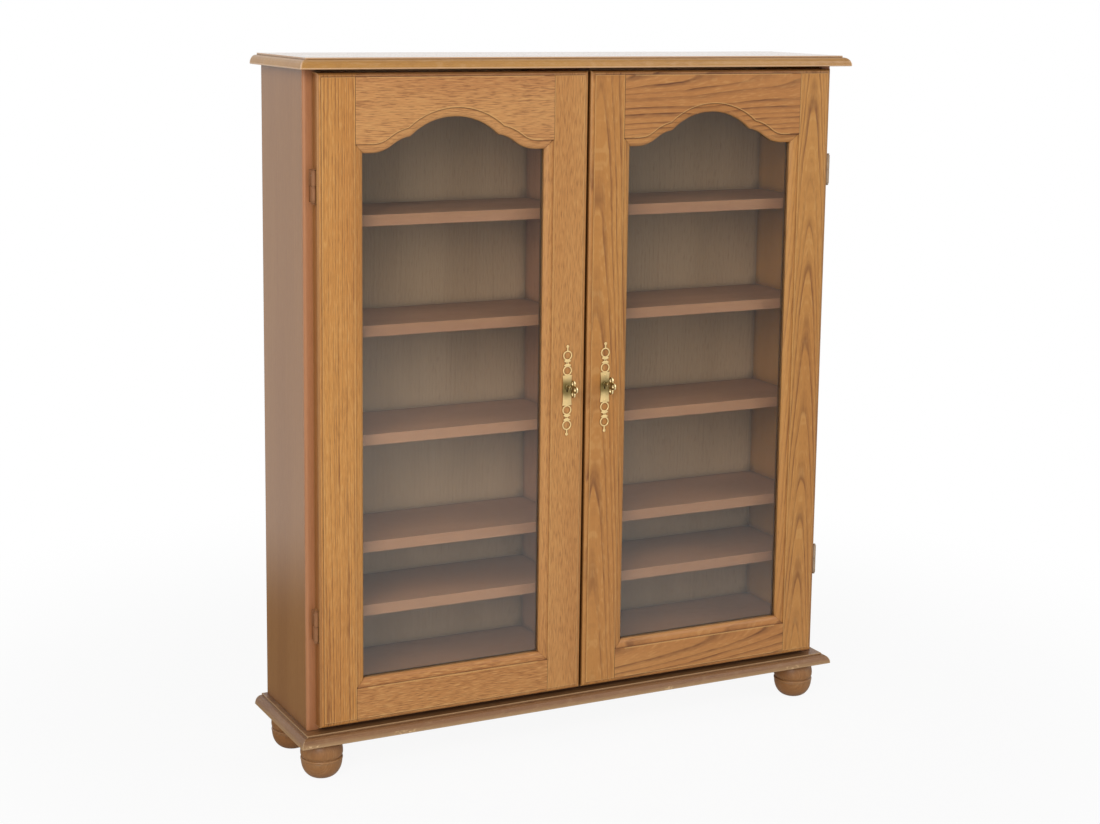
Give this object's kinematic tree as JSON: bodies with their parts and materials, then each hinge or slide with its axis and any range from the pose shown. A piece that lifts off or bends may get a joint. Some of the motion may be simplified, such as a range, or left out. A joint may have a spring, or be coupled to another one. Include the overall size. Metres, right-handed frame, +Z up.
{
  "type": "display cabinet",
  "caption": "Low, shallow wooden display cabinet on turned bun feet, with arched glass doors on knuckle hinges, brass key locks, a centre partition and fixed shelves.",
  "frame": {"origin": "on the floor, under the middle of the whole cabinet with its doors shut", "axes": "+X to the right seen from the front, +Y to the back, +Z up; the doors face -Y"},
  "size_m": [0.913, 0.236, 1.0469],
  "materials": {
    "oak": "satin varnish",
    "top_oak": "satin varnish",
    "side_veneer": "satin veneer",
    "lipping": "satin varnish",
    "base_wood": "worn satin varnish",
    "foot_wood": "satin varnish",
    "inner_board": "matt veneer",
    "back_board": "matt board",
    "glass": "clear",
    "strip": "matt",
    "brass": "polished, slightly tarnished",
    "bronze": "bronzed",
    "steel": "plain"
  },
  "bodies": {
    "carcass": {"top_board": "top_oak", "base_board": "base_wood", "foot_front_left": "foot_wood", "foot_front_right": "foot_wood", "foot_back_left": "foot_wood", "foot_back_right": "foot_wood", "side_panel_left": "side_veneer", "side_lipping_left": "lipping", "side_panel_right": "side_veneer", "side_lipping_right": "lipping", "centre_partition": "inner_board", "floor_panel": "inner_board", "plinth_rail": "inner_board", "back_panel": "back_board", "shelf_left_1": "inner_board", "shelf_left_2": "inner_board", "shelf_left_3": "inner_board", "shelf_left_4": "inner_board", "shelf_left_5": "inner_board", "shelf_right_1": "inner_board", "shelf_right_2": "inner_board", "shelf_right_3": "inner_board", "shelf_right_4": "inner_board", "shelf_right_5": "inner_board", "hinge_frame_leaf_top_left": "bronze", "hinge_pin_top_left": "steel", "hinge_frame_leaf_bottom_left": "bronze", "hinge_pin_bottom_left": "steel", "hinge_frame_leaf_top_right": "bronze", "hinge_pin_top_right": "steel", "hinge_frame_leaf_bottom_right": "bronze", "hinge_pin_bottom_right": "steel"},
    "door_left": {"hinge_stile_left": "oak", "lock_stile_left": "oak", "bottom_rail_left": "oak", "top_rail_left": "oak", "glass_left": "glass", "glazing_strip_left": "strip", "key_plate_left": "brass", "lock_case_left": "steel", "hinge_door_leaf_top_left": "bronze", "hinge_door_leaf_bottom_left": "bronze"},
    "key_left": {"key_left": "brass"},
    "bolt_left": {"lock_bolt_left": "brass"},
    "door_right": {"hinge_stile_right": "oak", "lock_stile_right": "oak", "bottom_rail_right": "oak", "top_rail_right": "oak", "glass_right": "glass", "glazing_strip_right": "strip", "key_plate_right": "brass", "lock_case_right": "steel", "hinge_door_leaf_top_right": "bronze", "hinge_door_leaf_bottom_right": "bronze"},
    "key_right": {"key_right": "brass"},
    "bolt_right": {"lock_bolt_right": "brass"}
  },
  "joints": [
    {"name": "door_left_swing", "type": "hinge", "parent": "carcass", "child": "door_left", "pos_m": [-0.4284, -0.077, 0.5532], "axis": [0, 0, -1], "range_deg": [0, 170]},
    {"name": "key_left_turn", "type": "hinge", "parent": "door_left", "child": "key_left", "pos_m": [-0.032, -0.084, 0.5572], "axis": [0, -1, 0], "range_deg": [0, 90]},
    {"name": "bolt_left_throw", "type": "slide", "parent": "door_left", "child": "bolt_left", "axis": [1, 0, 0], "range_m": [0, 0.008]},
    {"name": "door_right_swing", "type": "hinge", "parent": "carcass", "child": "door_right", "pos_m": [0.4284, -0.077, 0.5532], "axis": [0, 0, 1], "range_deg": [0, 170]},
    {"name": "key_right_turn", "type": "hinge", "parent": "door_right", "child": "key_right", "pos_m": [0.032, -0.084, 0.5572], "axis": [0, 1, 0], "range_deg": [0, 90]},
    {"name": "bolt_right_throw", "type": "slide", "parent": "door_right", "child": "bolt_right", "axis": [-1, 0, 0], "range_m": [0, 0.008]}
  ],
  "couplings": [
    {"joint": "bolt_left_throw", "follows": "key_left_turn", "m_per_rad": 0.00509},
    {"joint": "bolt_right_throw", "follows": "key_right_turn", "m_per_rad": 0.00509}
  ]
}
